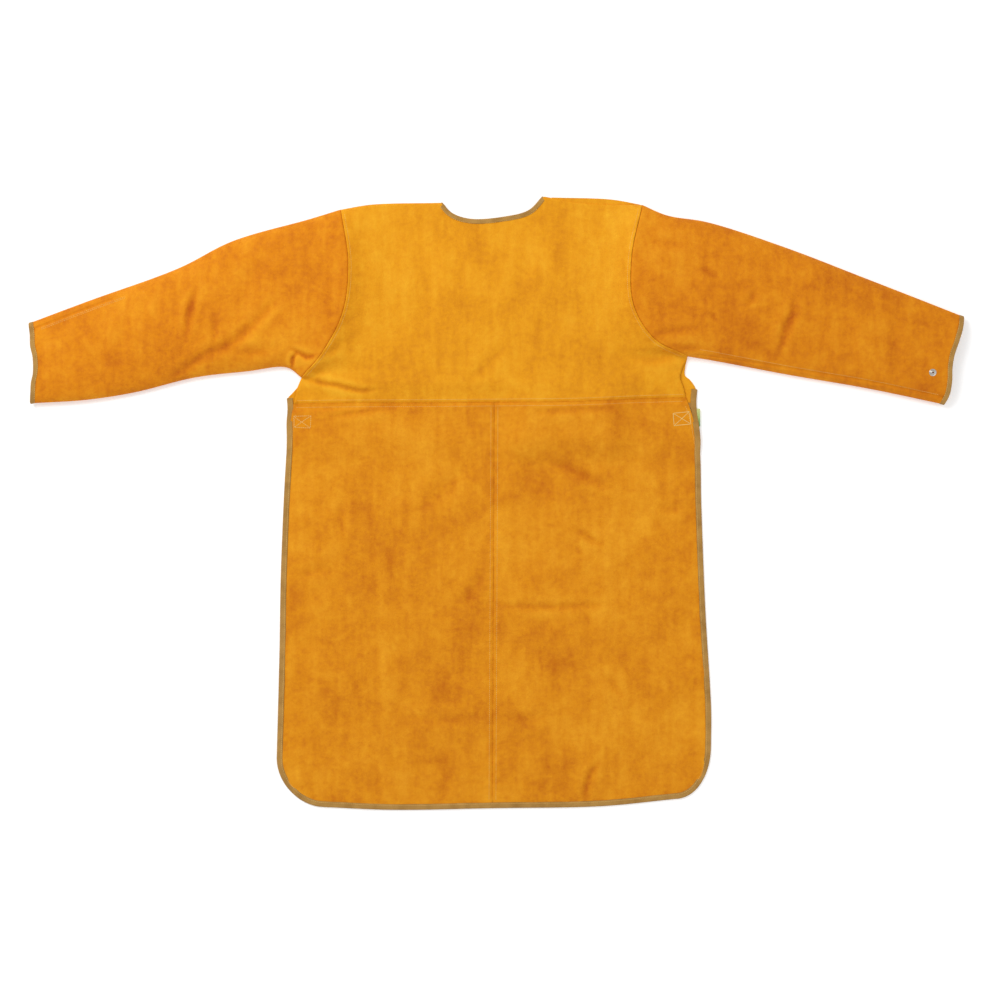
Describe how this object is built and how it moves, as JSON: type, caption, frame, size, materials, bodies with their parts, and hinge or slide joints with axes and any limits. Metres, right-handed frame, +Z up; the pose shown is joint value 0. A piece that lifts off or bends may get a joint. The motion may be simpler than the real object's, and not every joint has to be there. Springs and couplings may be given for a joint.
{
  "type": "sleeved leather welding apron",
  "caption": "Split-leather welding apron with long sleeves, an open back, bound edges, snap cuffs and a buckled waist strap, laid flat.",
  "frame": {"origin": "centre of the apron's box on the surface that it lies on", "axes": "+X across the sleeves, from the sleeve drawn on the left to the one drawn on the right; +Y from the hem to the neck; +Z up, out of the front"},
  "size_m": [1.634, 1.0732, 0.044],
  "materials": {
    "chest_leather": "golden suede",
    "skirt_leather": "mottled golden suede",
    "sleeve_leather": "mottled golden suede",
    "binding_tape": "ribbed woven tape",
    "thread": "heavy sewing thread",
    "webbing": "woven webbing",
    "buckle_plastic": "moulded",
    "snap_steel": "nickel plate",
    "label_cloth": "woven, blank"
  },
  "bodies": {
    "body": {"chest_panel": "chest_leather", "neck_binding": "binding_tape", "sleeve_front_left": "sleeve_leather", "sleeve_back_left": "sleeve_leather", "sleeve_front_right": "sleeve_leather", "sleeve_back_right": "sleeve_leather", "skirt_upper_left": "skirt_leather", "side_binding_left": "binding_tape", "skirt_upper_right": "skirt_leather", "side_binding_right": "binding_tape", "waist_strap_left": "webbing", "waist_strap_right": "webbing", "buckle_female": "buckle_plastic", "side_label": "label_cloth", "back_binding_left": "binding_tape", "back_binding_right": "binding_tape", "back_panel_left": "chest_leather", "back_panel_right": "chest_leather", "neck_tab": "sleeve_leather", "neck_snap_stud": "snap_steel", "neck_snap_post": "snap_steel", "neck_snap_cap": "snap_steel", "neck_snap_socket": "snap_steel"},
    "skirt_lower": {"skirt_lower_left": "skirt_leather", "skirt_lower_right": "skirt_leather", "hem_binding": "binding_tape"},
    "forearm_left": {"forearm_front_left": "sleeve_leather", "forearm_back_left": "sleeve_leather", "cuff_binding_left": "binding_tape", "cuff_snap_stud_left": "snap_steel", "cuff_snap_post_left": "snap_steel", "cuff_snap_cap_left": "snap_steel", "cuff_snap_socket_left": "snap_steel"},
    "forearm_right": {"forearm_front_right": "sleeve_leather", "forearm_back_right": "sleeve_leather", "cuff_binding_right": "binding_tape", "cuff_snap_stud_right": "snap_steel", "cuff_snap_post_right": "snap_steel", "cuff_snap_cap_right": "snap_steel", "cuff_snap_socket_right": "snap_steel"},
    "buckle_plug": {"buckle_male": "buckle_plastic"},
    "prong_upper": {"buckle_prong_upper": "buckle_plastic"},
    "prong_lower": {"buckle_prong_lower": "buckle_plastic"}
  },
  "joints": [
    {"name": "skirt_fold", "type": "hinge", "parent": "body", "child": "skirt_lower", "pos_m": [0, -0.179, 0.009], "axis": [-1, 0, 0], "range_deg": [0, 174]},
    {"name": "sleeve_fold_left", "type": "hinge", "parent": "body", "child": "forearm_left", "pos_m": [-0.5447, 0.31665, 0.038], "axis": [0.1485, 0.9889, 0], "range_deg": [0, 150]},
    {"name": "sleeve_fold_right", "type": "hinge", "parent": "body", "child": "forearm_right", "pos_m": [0.5317, 0.32835, 0.038], "axis": [0.1039, -0.9946, 0], "range_deg": [0, 150]},
    {"name": "buckle_release", "type": "slide", "parent": "body", "child": "buckle_plug", "axis": [-1, 0, 0], "range_m": [0, 0.026], "deforming": ["waist_strap_left", "buckle_prong_upper", "buckle_prong_lower"]},
    {"name": "prong_upper_press", "type": "hinge", "parent": "buckle_plug", "child": "prong_upper", "pos_m": [0.124, 0.1548, 0.0052], "axis": [0, 0, -1], "range_deg": [0, 7]},
    {"name": "prong_lower_press", "type": "hinge", "parent": "buckle_plug", "child": "prong_lower", "pos_m": [0.124, 0.1272, 0.0052], "axis": [0, 0, 1], "range_deg": [0, 7]}
  ]
}
